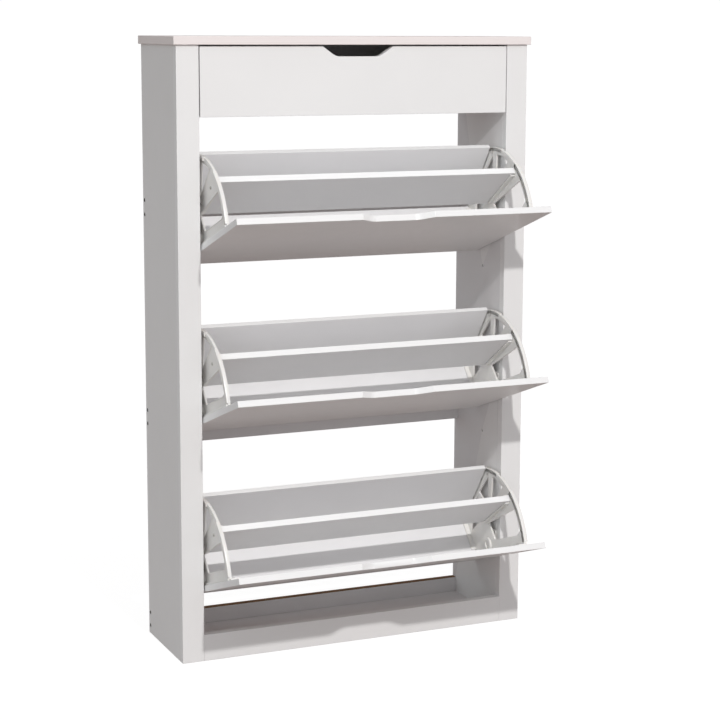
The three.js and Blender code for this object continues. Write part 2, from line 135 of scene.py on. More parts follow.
class FittingSettings(bpy.types.PropertyGroup):
    white_plastic: color_property("White plastic", "Swing brackets", (0.80, 0.785, 0.76))
    grey_plastic: color_property("Grey plastic", "Pivot plates", (0.60, 0.59, 0.575))
    runner_color: color_property("Runner coat", "Powder coat on the drawer runners", (0.70, 0.70, 0.70))
    screw_radius: length_property("Screw head", "Radius of a bracket screw's head", 0.0034)
    rail_screw_radius: length_property("Rail screw head", "Radius of a socket screw's head", 0.004)


class StageSettings(bpy.types.PropertyGroup):
    key_strength: bpy.props.FloatProperty(
        name="Key", description="Strength of the key light", default=20.5, min=0
    )
    front_fill: color_property("Front fill", "Light that comes from the front", (0.68, 0.685, 0.70))
    side_fill: color_property("Side fill", "Light that comes from the left", (0.86, 0.95, 0.98))
    rear_fill: color_property("Rear fill", "Light that comes from the rear", (0.15, 0.10, 0.082))
    lens: bpy.props.FloatProperty(
        name="Lens", description="Focal length of the camera, in millimetres", default=94.43
    )


# ---- small helpers ----
def link(obj):
    bpy.context.scene.collection.objects.link(obj)
    return obj


def mesh_object(name, mesh):
    return link(bpy.data.objects.new(name, mesh))


def opened(mesh):
    """A working copy of a mesh."""
    shape = bmesh.new()
    shape.from_mesh(mesh)
    return shape


def stored(shape, mesh):
    """The mesh, filled from a working shape that is used up."""
    shape.to_mesh(mesh)
    shape.free()
    return mesh


def plain_mesh(obj):
    """The evaluated shape of an object as a mesh of its own."""
    depsgraph = bpy.context.evaluated_depsgraph_get()
    return bpy.data.meshes.new_from_object(obj.evaluated_get(depsgraph))


def discard(obj):
    data = obj.data
    bpy.data.objects.remove(obj)
    if data.users == 0:
        library = bpy.data.curves if isinstance(data, bpy.types.Curve) else bpy.data.meshes
        library.remove(data)


def add_boolean(obj, operation, other):
    modifier = obj.modifiers.new("join or cut", "BOOLEAN")
    modifier.operation = operation
    modifier.solver = "EXACT"
    modifier.object = other


def place(obj, body, nodes=()):
    """Makes a finished piece part of the cabinet."""
    if nodes:
        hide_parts(*nodes)
    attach(obj, body)
    return obj


def body_of_node(node):
    bodies = frame["record"]["behaviour"]["bodies"]
    return next(body for body, members in bodies.items() if node in members)


def joint_point(name):
    joints = frame["record"]["behaviour"]["joints"]
    return next(Vector(joint["pos_m"]) for joint in joints if joint["name"] == name)


def pivot_matrix(index):
    """Takes a point around a flap's pivot, in millimetres, to its place in the cabinet."""
    return Matrix.Translation(joint_point(f"flap_{index}_tip")) @ Matrix.Scale(MM, 4)


def flap_matrix(index):
    """Takes a point of the closed flap, in millimetres, to the open flap in the cabinet."""
    pivot = joint_point(f"flap_{index}_tip")
    turned = Matrix.Translation(pivot) @ Matrix.Rotation(OPEN_ANGLE, 4, "X")
    return turned @ Matrix.Scale(MM, 4) @ Matrix.Translation((0, -PIVOT[0], -PIVOT[1]))


def shade(mesh, angle=32):
    mesh.shade_smooth()
    mesh.set_sharp_from_angle(angle=math.radians(angle))


# ---- nodes ----
VECTOR_IN = ("Vector", "NodeSocketVector", None)
COLOR_IN = ("Color", "NodeSocketColor", (0.8, 0.8, 0.8, 1))
COLOR_OUT = ("Color", "NodeSocketColor")


def number(label, default):
    """An input of a group that takes a plain number."""
    return (label, "NodeSocketFloat", default)


def feed(tree, socket, value):
    """Gives an input a plain value, or a link from a socket or from a node's first output."""
    if isinstance(value, bpy.types.Node):
        value = value.outputs[0]
    if isinstance(value, bpy.types.NodeSocket):
        tree.links.new(value, socket)
    else:
        socket.default_value = value


def add_node(tree, kind, inputs=(), **settings):
    """A new node; inputs holds what goes into each input, by its label or its number."""
    node = tree.nodes.new(kind)
    for label, value in settings.items():
        setattr(node, label, value)
    for label, value in dict(inputs).items():
        feed(tree, node.inputs[label], value)
    return node


def node_group(name, inputs, outputs, kind="ShaderNodeTree"):
    """A new group, with what comes into it and what goes out of it."""
    group = bpy.data.node_groups.new(name, kind)
    for label, socket_type, default in inputs:
        socket = group.interface.new_socket(label, in_out="INPUT", socket_type=socket_type)
        if default is not None:
            socket.default_value = default
    for label, socket_type in outputs:
        group.interface.new_socket(label, in_out="OUTPUT", socket_type=socket_type)
    return group, add_node(group, "NodeGroupInput").outputs, add_node(group, "NodeGroupOutput").inputs


def noise_node(tree, vector, scale, detail=2.0, roughness=0.5):
    values = {"Vector": vector, "Scale": scale, "Detail": detail, "Roughness": roughness}
    return add_node(tree, "ShaderNodeTexNoise", values).outputs["Fac"]


def math_node(tree, operation, *values, clamp=False):
    node = add_node(tree, "ShaderNodeMath", enumerate(values), operation=operation, use_clamp=clamp)
    return node.outputs[0]


def range_node(tree, value, low, high, to_low=0.0, to_high=1.0):
    values = {"Value": value, "From Min": low, "From Max": high, "To Min": to_low, "To Max": to_high}
    return add_node(tree, "ShaderNodeMapRange", values).outputs["Result"]


def mix_color(tree, factor, a, b):
    node = add_node(tree, "ShaderNodeMix", {"Factor": factor}, data_type="RGBA")
    for label, value in (("A", a), ("B", b)):
        feed(tree, next(s for s in node.inputs if s.name == label and s.type == "RGBA"), value)
    return next(s for s in node.outputs if s.type == "RGBA")


# ---- shader groups ----
def mottle_group():
    """Slow drift of a colour over a large sheet."""
    group, source, sink = node_group(
        "Mottle",
        (VECTOR_IN, COLOR_IN, number("Scale", 9.0), number("Amount", 0.02)),
        (COLOR_OUT,),
    )
    cloud = noise_node(group, source["Vector"], source["Scale"], detail=3.0)
    drift = math_node(group, "SUBTRACT", cloud, 0.5)
    drift = math_node(group, "MULTIPLY", drift, source["Amount"])
    drift = math_node(group, "MULTIPLY_ADD", drift, 4.0, 1.0)
    scaled = add_node(group, "ShaderNodeVectorMath", {0: source["Color"], "Scale": drift}, operation="SCALE")
    feed(group, sink["Color"], scaled)
    return group


def veil_group(name, cover, cover_color, amount):
    """A new group that lays a covering colour over another one and tells where."""
    return node_group(
        name,
        (VECTOR_IN, COLOR_IN, (cover, "NodeSocketColor", cover_color),
         number("Amount", amount)),
        (COLOR_OUT, ("Mask", "NodeSocketFloat")),
    )


def lay_veil(group, source, sink, area, spots, cover):
    """Lays the cover on the spots inside an area."""
    mask = math_node(group, "MULTIPLY", area, spots)
    mask = math_node(group, "MULTIPLY", mask, source["Amount"], clamp=True)
    feed(group, sink["Color"], mix_color(group, mask, source["Color"], source[cover]))
    feed(group, sink["Mask"], mask)
    return group


def rim_wear_group():
    """Small rubbed spots along rounded board edges, which the 'rim' attribute marks."""
    group, source, sink = veil_group("Rim wear", "Worn Color", (0.5, 0.45, 0.4, 1), 0.4)
    rim = add_node(group, "ShaderNodeAttribute", attribute_name="rim")
    spots = noise_node(group, source["Vector"], scale=62.0, detail=4.0, roughness=0.62)
    spots = range_node(group, spots, 0.56, 0.72)
    return lay_veil(group, source, sink, rim.outputs["Fac"], spots, "Worn Color")


def dust_group():
    """A thin veil of dust on what faces up."""
    group, source, sink = veil_group("Settled dust", "Dust Color", (0.62, 0.59, 0.55, 1), 0.08)
    normal = add_node(group, "ShaderNodeNewGeometry").outputs["Normal"]
    split = add_node(group, "ShaderNodeSeparateXYZ", {"Vector": normal})
    upward = range_node(group, split.outputs["Z"], 0.45, 1.0)
    cloud = noise_node(group, source["Vector"], scale=34.0, detail=6.0, roughness=0.7)
    cloud = range_node(group, cloud, 0.35, 0.75, to_low=0.2)
    return lay_veil(group, source, sink, upward, cloud, "Dust Color")


def relief_group():
    """Fine relief of a pressed or moulded surface: small pimples on a slower wave."""
    group, source, sink = node_group(
        "Fine relief",
        (VECTOR_IN, number("Scale", 900.0), number("Wave", 0.35)),
        (("Height", "NodeSocketFloat"), ("Gloss", "NodeSocketFloat")),
    )
    fine = noise_node(group, source["Vector"], source["Scale"], roughness=0.55)
    slow_scale = math_node(group, "MULTIPLY", source["Scale"], 0.06)
    slow = noise_node(group, source["Vector"], slow_scale)
    wave = math_node(group, "MULTIPLY", slow, source["Wave"])
    feed(group, sink["Height"], math_node(group, "ADD", fine, wave))
    feed(group, sink["Gloss"], slow)
    return group


def shared_group(name):
    makers = {
        "Mottle": mottle_group,
        "Rim wear": rim_wear_group,
        "Settled dust": dust_group,
        "Fine relief": relief_group,
    }
    return bpy.data.node_groups.get(name) or makers[name]()


def group_node(tree, name, vector, **values):
    inputs = {label.replace("_", " "): value for label, value in values.items()}
    return add_node(tree, "ShaderNodeGroup", {"Vector": vector, **inputs}, node_tree=shared_group(name))


# ---- materials ----
def rgba(color):
    return (*color, 1.0)


def tinted(color, share):
    """A darker or lighter version of a colour."""
    return rgba(min(1.0, channel * share) for channel in color)


def new_material(name):
    material = bpy.data.materials.new(name)
    material.use_nodes = True
    tree = material.node_tree
    vector = add_node(tree, "ShaderNodeTexCoord").outputs["Object"]
    return material, tree, tree.nodes["Principled BSDF"].inputs, vector


def add_bump(tree, shader, height, distance):
    bump = add_node(tree, "ShaderNodeBump", {"Strength": 1.0, "Distance": distance, "Height": height})
    feed(tree, shader["Normal"], bump)


def add_relief(tree, shader, vector, scale, wave, distance, roughness, spread):
    """Relief into Normal, and its slow wave into Roughness."""
    relief = group_node(tree, "Fine relief", vector, Scale=scale, Wave=wave)
    add_bump(tree, shader, relief, distance)
    gloss = range_node(tree, relief.outputs["Gloss"], 0.3, 0.7, roughness - spread, roughness + spread)
    feed(tree, shader["Roughness"], gloss)


def stretched(tree, vector, scale):
    return add_node(tree, "ShaderNodeMapping", {"Scale": scale, "Vector": vector})


def foil(name, color, roughness, peel=760.0, mottle=0.012, wear=0.35, dust=0.05):
    """Pressed foil on board: soft orange peel, rubbed edges and a little dust."""
    material, tree, shader, vector = new_material(name)
    base = group_node(tree, "Mottle", vector, Color=rgba(color), Scale=7.0, Amount=mottle)
    rubbed = group_node(
        tree, "Rim wear", vector,
        Color=base, Worn_Color=tinted(color, 0.72), Amount=wear,
    )
    dusty = group_node(tree, "Settled dust", vector, Color=rubbed, Amount=dust)
    feed(tree, shader["Base Color"], dusty)
    add_relief(tree, shader, vector, peel, wave=0.5, distance=0.000035, roughness=roughness, spread=0.05)
    shader["Specular IOR Level"].default_value = 0.45
    return material


def edge_band(name, color):
    """Glued band: long faint drawn lines along the edge."""
    material, tree, shader, vector = new_material(name)
    lines = noise_node(tree, stretched(tree, vector, (0.05, 1.0, 0.35)), scale=620.0)
    shift = range_node(tree, lines, 0.3, 0.7, to_high=0.35)
    drawn = mix_color(tree, shift, rgba(color), tinted(color, 0.93))
    rubbed = group_node(
        tree, "Rim wear", vector, Color=drawn, Worn_Color=tinted(color, 0.7), Amount=0.4
    )
    feed(tree, shader["Base Color"], rubbed)
    add_relief(tree, shader, vector, 900.0, wave=0.3, distance=0.00002, roughness=0.33, spread=0.04)
    return material


def raw_board(name, color):
    """Bare chipboard edge: pressed flakes with dark pores."""
    material, tree, shader, vector = new_material(name)
    along = stretched(tree, vector, (0.35, 1.0, 1.0))
    flakes = add_node(
        tree, "ShaderNodeTexVoronoi", {"Vector": along, "Scale": 420.0, "Randomness": 1.0}
    ).outputs
    split = add_node(tree, "ShaderNodeSeparateColor", {"Color": flakes["Color"]})
    flake_color = mix_color(tree, split.outputs["Red"], rgba(color), tinted(color, 2.1))
    pores = noise_node(tree, vector, scale=900.0, detail=3.0, roughness=0.7)
    pore_mask = range_node(tree, pores, 0.56, 0.66, to_high=0.7)
    pitted = mix_color(tree, pore_mask, flake_color, tinted(color, 0.35))
    feed(tree, shader["Base Color"], pitted)
    add_bump(tree, shader, math_node(tree, "ADD", flakes["Distance"], pores), 0.00025)
    shader["Roughness"].default_value = 0.85
    return material


def moulded(name, color, roughness, grain=1500.0):
    """Injection-moulded plastic with a fine sandy grain."""
    material, tree, shader, vector = new_material(name)
    base = group_node(tree, "Mottle", vector, Color=rgba(color), Scale=26.0, Amount=0.015)
    dusty = group_node(tree, "Settled dust", vector, Color=base, Amount=0.07)
    feed(tree, shader["Base Color"], dusty)
    add_relief(tree, shader, vector, grain, wave=0.4, distance=0.00003, roughness=roughness, spread=0.06)
    shader["Subsurface Weight"].default_value = 0.04
    shader["Subsurface Radius"].default_value = (0.004, 0.003, 0.002)
    return material


def metal(name, color, roughness, metallic):
    """Zinc-plated or coated metal with faint cloudy spangle."""
    material, tree, shader, vector = new_material(name)
    base = group_node(tree, "Mottle", vector, Color=rgba(color), Scale=160.0, Amount=0.06)
    feed(tree, shader["Base Color"], base)
    add_relief(tree, shader, vector, 700.0, wave=0.4, distance=0.00002, roughness=roughness, spread=0.08)
    shader["Metallic"].default_value = metallic
    return material


def material_named(name):
    """The finish with this name, made from the settings the first time it is asked for."""
    found = bpy.data.materials.get(name)
    if found:
        return found
    boards = bpy.context.scene.shoe_boards
    fittings = bpy.context.scene.shoe_fittings
    rough = boards.foil_roughness
    makers = {
        "outer_foil": lambda: foil(name, boards.outer_color, rough),
        "top_foil": lambda: foil(name, boards.top_color, rough, dust=0.03),
        "inner_melamine": lambda: foil(name, boards.inner_color, rough + 0.12, 1100.0, mottle=0.02),
        "edge_band": lambda: edge_band(name, boards.band_color),
        "raw_board": lambda: raw_board(name, boards.raw_color),
        "white_moulding": lambda: moulded(name, fittings.white_plastic, 0.34),
        "grey_moulding": lambda: moulded(name, fittings.grey_plastic, 0.42, grain=1100.0),
        "runner_coat": lambda: metal(name, fittings.runner_color, 0.38, 0.25),
        "zinc_screw": lambda: metal(name, (0.62, 0.61, 0.58), 0.3, 0.95),
        "dark_screw": lambda: metal(name, (0.05, 0.045, 0.04), 0.45, 0.6),
    }
    return makers[name]()


# ---- boards ----
MERGE_DISTANCE = 1e-6                    # corners of a board closer than this are one
WHOLE_FACE_ANGLE = math.radians(0.6)


def merged_copy(node):
    """A working copy of a frame node with merged corners and whole faces."""
    shape = opened(frame["nodes"][node].data)
    bmesh.ops.remove_doubles(shape, verts=shape.verts, dist=MERGE_DISTANCE)
    bmesh.ops.dissolve_limit(
        shape, angle_limit=WHOLE_FACE_ANGLE, verts=shape.verts, edges=shape.edges
    )
    return shape


def round_edges(shape, radius, segments=2, sharper_than=28):
    """Rounds the sharp edges and marks the new strips with the 'rim' attribute."""
    rim = shape.faces.layers.float.new("rim")
    limit = math.radians(sharper_than)
    sharp = [e for e in shape.edges if len(e.link_faces) == 2 and e.calc_face_angle() > limit]
    made = bmesh.ops.bevel(
        shape, geom=sharp, offset=radius, offset_type="OFFSET", segments=segments,
        profile=0.5, affect="EDGES", clamp_overlap=True, material=-1,
    )
    for face in made["faces"]:
        face[rim] = 1.0
        face.smooth = True


def board_object(name, shape, materials):
    bmesh.ops.recalc_face_normals(shape, faces=shape.faces)
    mesh = stored(shape, bpy.data.meshes.new(name))
    for material in materials:
        mesh.materials.append(material_named(material))
    return mesh_object(name, mesh)


def finish_board(node, face_material, slot, radius=None, raw_faces=(), drill=(), edge="edge_band"):
    """A board with foil on its two broad faces, band on its edges and bare faces where named.

    raw_faces holds directions: an edge face that looks that way stays bare.
    drill holds (centre, direction, radius, depth) of blind holes, in metres.
    """
    shape = merged_copy(node)
    if drill:
        shape = drilled(shape, drill)
    broad = set(sorted(shape.faces, key=lambda f: f.calc_area())[-2:])
    for face in shape.faces:
        face.material_index = 0 if face in broad else 1
        if face not in broad and any(face.normal.dot(Vector(d)) > 0.9 for d in raw_faces):
            face.material_index = 2
    round_edges(shape, radius or bpy.context.scene.shoe_boards.edge_round)
    piece = board_object(f"{node}_board", shape, (face_material, edge, "raw_board"))
    return place(piece, body_of_node(node), (node,))


def finish_outer(node, **options):
    finish_board(node, "outer_foil", "white_board", **options)


def finish_inner(node, **options):
    finish_board(node, "inner_melamine", "inner_board", **options)


def drilled(shape, drill):
    """The same shape with blind round holes."""
    base = mesh_object("board", stored(shape, bpy.data.meshes.new("board")))
    cutters = bmesh.new()
    for centre, direction, radius, depth in drill:
        turn = Vector(direction).to_track_quat("Z", "Y").to_matrix().to_4x4()
        bmesh.ops.create_cone(
            cutters, cap_ends=True, segments=20, radius1=radius, radius2=radius, depth=2 * depth,
            matrix=Matrix.Translation(centre) @ turn,
        )
    tool = mesh_object("drill", stored(cutters, bpy.data.meshes.new("drill")))
    add_boolean(base, "DIFFERENCE", tool)
    cut_mesh = plain_mesh(base)
    result = opened(cut_mesh)
    bpy.data.meshes.remove(cut_mesh)
    discard(base)
    discard(tool)
    return result


def finish_runner(node):
    """A drawer runner or channel with its folded edges softened."""
    shape = merged_copy(node)
    round_edges(shape, RUNNER_ROUND, segments=1, sharper_than=35)
    piece = board_object(f"{node}_piece", shape, ("runner_coat",))
    return place(piece, body_of_node(node), (node,))


# ---- moulded solids, drawn across X from outlines in the closed flap ----
def offset_point(point, along, a, across, b):
    return (point[0] + along[0] * a + across[0] * b, point[1] + along[1] * a + across[1] * b)


def board_section(board, start=0.0, end=0.0, near=0.0, far=0.0, thickness=None):
    """Corners of a board's section, grown or shifted by the given amounts."""
    across = board["thickness"] if thickness is None else thickness
    corner, along, side = board["corner"], board["along"], board["across"]
    return [
        offset_point(corner, along, start, side, near),
        offset_point(corner, along, board["length"] + end, side, near),
        offset_point(corner, along, board["length"] + end, side, across + far),
        offset_point(corner, along, start, side, across + far),
    ]


def polar(centre, radius, angle):
    return (centre[0] + radius * math.cos(angle), centre[1] + radius * math.sin(angle))


def arc(centre, radius, start, end):
    steps = max(4, math.ceil(abs(end - start) / ARC_STEP))
    return [polar(centre, radius, start + (end - start) * i / steps) for i in range(steps + 1)]


def circle(centre, radius, sides=32):
    return [polar(centre, radius, math.tau * i / sides) for i in range(sides)]


def with_neighbours(points):
    """Each point between the one before it and the one after it."""
    count = len(points)
    return [[Vector(points[(i + k) % count]) for k in (-1, 0, 1)] for i in range(count)]


def rounded(points, radius, steps=5):
    """The outline with each corner turned into a short curve."""
    result = []
    for before, here, after in with_neighbours(points):
        a = here + (before - here).normalized() * min(radius, (before - here).length * 0.45)
        b = here + (after - here).normalized() * min(radius, (after - here).length * 0.45)
        for k in range(steps + 1):
            t = k / steps
            result.append(tuple((1 - t) ** 2 * a + 2 * t * (1 - t) * here + t * t * b))
    return result


def ring_sector(inner, outer, start, end):
    return arc(PIVOT, outer, start, end) + arc(PIVOT, inner, end, start)


def grown(points, amount):
    """The outline moved out by an amount along its corner normals; points run clockwise or not."""
    corners = with_neighbours(points)
    area = sum(here.x * after.y - after.x * here.y for _, here, after in corners)
    turn = 1 if area > 0 else -1
    result = []
    for before, here, after in corners:
        first, second = (here - before).normalized(), (after - here).normalized()
        normal = Vector((first.y + second.y, -first.x - second.x)) * turn
        if normal.length < 1e-6:
            continue
        normal.normalize()
        lean = max(0.5, normal.dot(Vector((first.y, -first.x)) * turn))
        result.append(tuple(here + normal * (amount / lean)))
    return result


WELD = 1e-3                              # corners of a moulding closer than this are one


def welded(mesh, drop_slivers=False):
    """The mesh with its double corners merged and its faces turned outward."""
    shape = opened(mesh)
    bmesh.ops.remove_doubles(shape, verts=shape.verts, dist=WELD)
    if drop_slivers:
        bmesh.ops.dissolve_degenerate(shape, edges=shape.edges, dist=WELD / 10)
    bmesh.ops.recalc_face_normals(shape, faces=shape.faces)
    return stored(shape, mesh)


def flat_solid(outlines, x0, x1, edge=MOULD_EDGE):
    """A closed solid between two planes across X, in millimetres, with softly rounded edges.

    The first outline is the outer one, and the others are holes in it.
    """
    curve = bpy.data.curves.new("outline", "CURVE")
    curve.dimensions = "2D"
    curve.fill_mode = "BOTH"
    for outline in outlines:
        spline = curve.splines.new("POLY")
        spline.points.add(len(outline) - 1)
        for point, (y, z) in zip(spline.points, outline):
            point.co = (y, z, 0, 1)
        spline.use_cyclic_u = True
    curve.extrude = abs(x1 - x0) / 2 - edge
    curve.bevel_depth = edge
    curve.bevel_resolution = 1
    curve.offset = -edge
    source = link(bpy.data.objects.new("outline", curve))
    mesh = plain_mesh(source)
    discard(source)
    mesh.transform(Matrix(((0, 0, 1, (x0 + x1) / 2), (1, 0, 0, 0), (0, 1, 0, 0), (0, 0, 0, 1))))
    return mesh_object("solid", welded(mesh, drop_slivers=True))


def united(solids):
    """One closed mesh from overlapping solids, which are used up."""
    for other in solids[1:]:
        add_boolean(solids[0], "UNION", other)
    mesh = plain_mesh(solids[0])
    for solid in solids:
        discard(solid)
    return welded(mesh)


def make_mouldings(solids, kind, material, matrix_of, body=None):
    """A right-hand shape and its mirror on every flap; they ride the flap unless a body is named."""
    shape = united(solids)
    for index in FLAPS:
        for side, sign in SIDES:
            node = f"flap_{index}_{side}_{kind}"
            copy = shape.copy()
            copy.name = f"{node}_moulding"
            if sign < 0:
                copy.transform(Matrix.Scale(-1, 4, (1, 0, 0)))
                copy.flip_normals()
            copy.transform(matrix_of(index))
            copy.materials.clear()
            copy.materials.append(material_named(material))
            shade(copy)
            place(mesh_object(f"{node}_moulding", copy), body or f"flap_{index}", (node,))
    bpy.data.meshes.remove(shape)


# ---- swing bracket ----
RIM_START = math.radians(9)
RIM_END = math.radians(94.5)
REAR_RIDGE = (math.radians(10), math.radians(30))    # where the rim carries a wide ridge
FRONT_RIDGE = (math.radians(52), math.radians(93))
WINDOW_RADIUS = RIM_INNER - 5
KNOB_ANGLE = math.radians(15)
KNOB_REACH = 150.0
KNOB_RADIUS = 6.0
KNOB_HOLE = 2.2
HUB_RADIUS = 14.0
HUB_HOLLOW = 8.0
SPOKE_START = 48.0
SPOKE_LENGTH = 104.0
RIB_START = 8.0
RIB_WIDTH = 4.0
FOOT_PADS = ((226.0, 262.0), (60.0, 112.0))          # heights of the pads on the door
FOOT_STRIP = (52.0, 255.0)
FLANGE_SCREWS = (244.0, 76.0, 96.0)                  # heights of the screws that go into the door
FLANGE_SCREW_X = BRACKET_FACE - 8
FLANGE_NEAR = 12.5
FLANGE_FAR = FLANGE_NEAR + WEB
SCREW_SHARES = ((DIVIDER, (0.25, 0.75)), (BACK_BOARD, (0.3, 0.8)), (LOWER_BOARD, (0.7,)))


def directions(angle):
    """Along an angle, and square to it."""
    return (math.cos(angle), math.sin(angle)), (-math.sin(angle), math.cos(angle))


def on_board(board, a, b):
    """A point given by its distances along a board's section and across it."""
    return offset_point(board["corner"], board["along"], a, board["across"], b)


def front_window():
    """Between the door arm and the divider arm."""
    return rounded(
        [(34, 132), (34, PIVOT[1] + 130)]
        + arc(PIVOT, WINDOW_RADIUS, math.radians(84), math.radians(66))
        + [on_board(DIVIDER, DIVIDER["length"] - 12, -7)],
        3.0,
    )


def rear_window():
    """Between the divider arm and the rear spoke."""
    return rounded(
        [on_board(DIVIDER, 92, DIVIDER["thickness"] + 8)]
        + arc(PIVOT, WINDOW_RADIUS, math.radians(42), REAR_SPOKE + math.radians(3.5)),
        3.0,
    )


def spoke_window():
    """Between the rear spoke and the back board arm."""
    along, across = directions(REAR_SPOKE)
    return rounded(
        [
            offset_point(PIVOT, along, 78, across, -6),
            on_board(BACK_BOARD, 64, -8),
            offset_point(PIVOT, along, RIM_INNER - 9, across, -9),
        ],
        2.5,
    )


def lower_window():
    """Under the divider, between the hub and the back board arm."""
    return rounded(
        [
            on_board(LOWER_BOARD, 44, -7),
            on_board(BACK_BOARD, BACK_BOARD["length"] - 6, -9),
            on_board(BACK_BOARD, 76, -8),
            on_board(DIVIDER, DIVIDER["length"] + 8, 12),
        ],
        4.0,
    )


def web_outline():
    lip = BACK_BOARD["thickness"] + 4
    length = BACK_BOARD["length"]
    lower = board_section(LOWER_BOARD, 6, 3, 0, 3)
    return (
        [(13, 52), (13, PIVOT[1] + 150)]
        + arc(PIVOT, RIM_RADIUS, RIM_END, RIM_START)
        + [on_board(BACK_BOARD, 6, lip), on_board(BACK_BOARD, length, lip)]
        + [on_board(BACK_BOARD, length + 4, lip - 18), lower[1], lower[2], lower[3]]
    )


def spoke(angle, start, length, width):
    along, across = directions(angle)
    corner = offset_point(PIVOT, along, start, across, -width / 2)
    return board_section(
        {"corner": corner, "length": length, "thickness": width, "along": along, "across": across}
    )


def web_screws():
    """Where screws go through the web into the board ends."""
    return [
        on_board(board, board["length"] * share, board["thickness"] / 2)
        for board, shares in SCREW_SHARES
        for share in shares
    ]


def strip(low, high, thickness):
    far = FLANGE_NEAR + thickness
    return [(FLANGE_NEAR, low), (far, low), (far, high), (FLANGE_NEAR, high)]


def bracket_solids():
    """The moulded pieces of a right-hand bracket, which overlap where they meet."""
    face, web_far = BRACKET_FACE, BRACKET_FACE + WEB
    stand = BRACKET_FACE + STAND_OFF
    windows = [front_window(), rear_window(), spoke_window(), lower_window()]
    knob = polar(PIVOT, KNOB_REACH, KNOB_ANGLE)
    rim = ring_sector(RIM_INNER, RIM_RADIUS, RIM_START, RIM_END)
    rear_ridge = ring_sector(RIM_INNER, RIM_RADIUS + 1, *REAR_RIDGE)
    front_ridge = ring_sector(RIM_INNER - 2, RIM_RADIUS + 1, *FRONT_RIDGE)
    stop_rib = spoke(STOP_RIB_ANGLE, RIB_START, PEG_REACH, RIB_WIDTH)
    solids = [
        flat_solid([web_outline()] + windows, face, web_far),
        flat_solid([rim], face, web_far + 2),
        flat_solid([rear_ridge], face, stand, 0.6),
        flat_solid([front_ridge], face, stand, 0.6),
        flat_solid([spoke(REAR_SPOKE, SPOKE_START, SPOKE_LENGTH, RIB_WIDTH)], web_far - 1, web_far + 2),
        flat_solid([stop_rib], web_far - 1, stand),
        flat_solid([circle(PIVOT, HUB_RADIUS, 48), circle(PIVOT, HUB_HOLLOW, 40)], face - 4, stand, 0.6),
        flat_solid([circle(PIVOT, HUB_HOLLOW + 1, 40)], face - 1.5, stand, 0.4),
        flat_solid([circle(PIVOT, PIN_RADIUS)], stand - 1, INNER_FACE + 6, 0.6),
        flat_solid([circle(knob, KNOB_RADIUS), circle(knob, KNOB_HOLE, 20)], face, stand, 0.5),
    ]
    for low, high in FOOT_PADS:
        solids.append(flat_solid([strip(low, high, WEB)], face - 14, web_far))
    solids.append(flat_solid([strip(*FOOT_STRIP, WEB + 1)], face, stand - 0.5))
    for outline in windows:
        solids.append(flat_solid([grown(outline, 1.8), outline], web_far - 1, web_far + 0.8, 0.25))
    for board in (DIVIDER, BACK_BOARD, LOWER_BOARD):
        for shift in (-3.0, board["thickness"] + 0.5):
            section = board_section(board, 6, -6, shift, shift, thickness=2.5)
            solids.append(flat_solid([section], face - 9, face + 1))
    return solids


# ---- pivot plate ----
PLATE_LOW, PLATE_HIGH = (-12.0, -9.5), (49.0, 31.0)  # opposite corners, from the pivot
PLATE_CORNER = 5.0
PLATE_HOLE = 2.2
SOCKET_RADIUS = 5.3
SOCKET_RIM = 8.0
BRACE_HALF = 1.2
BRACE_HEIGHTS = (-7.5, 22.0)


def rectangle(low, high):
    return [low, (high[0], low[1]), high, (low[0], high[1])]


def stop_peg():
    """Centre of the peg that stops the open flap, from the pivot."""
    spread = (RIB_WIDTH / 2 + PEG_RADIUS + 0.5) / PEG_REACH
    return polar((0, 0), PEG_REACH, STOP_RIB_ANGLE + OPEN_ANGLE + spread)


def plate_solids():
    """A right-hand pivot plate around its own pivot: plate, socket rim and stop peg."""
    outline = rounded(rectangle(PLATE_LOW, PLATE_HIGH), PLATE_CORNER)
    socket = circle((0, 0), SOCKET_RADIUS)
    holes = [circle(point, PLATE_HOLE, 20) for point in PLATE_SCREWS] + [socket]
    inward = INNER_FACE - PLATE
    peg = stop_peg()
    low, high = BRACE_HEIGHTS
    brace = rectangle((peg[0] - BRACE_HALF, low), (peg[0] + BRACE_HALF, high))
    return [
        flat_solid([outline] + holes, inward, INNER_FACE - 0.02, 0.5),
        flat_solid([circle((0, 0), SOCKET_RIM, 40), socket], inward - 0.6, INNER_FACE + 7, 0.3),
        flat_solid([circle(peg, PEG_RADIUS)], inward - 5, inward + 1, 0.8),
        flat_solid([brace], inward - 0.7, inward + 0.5, 0.3),
    ]


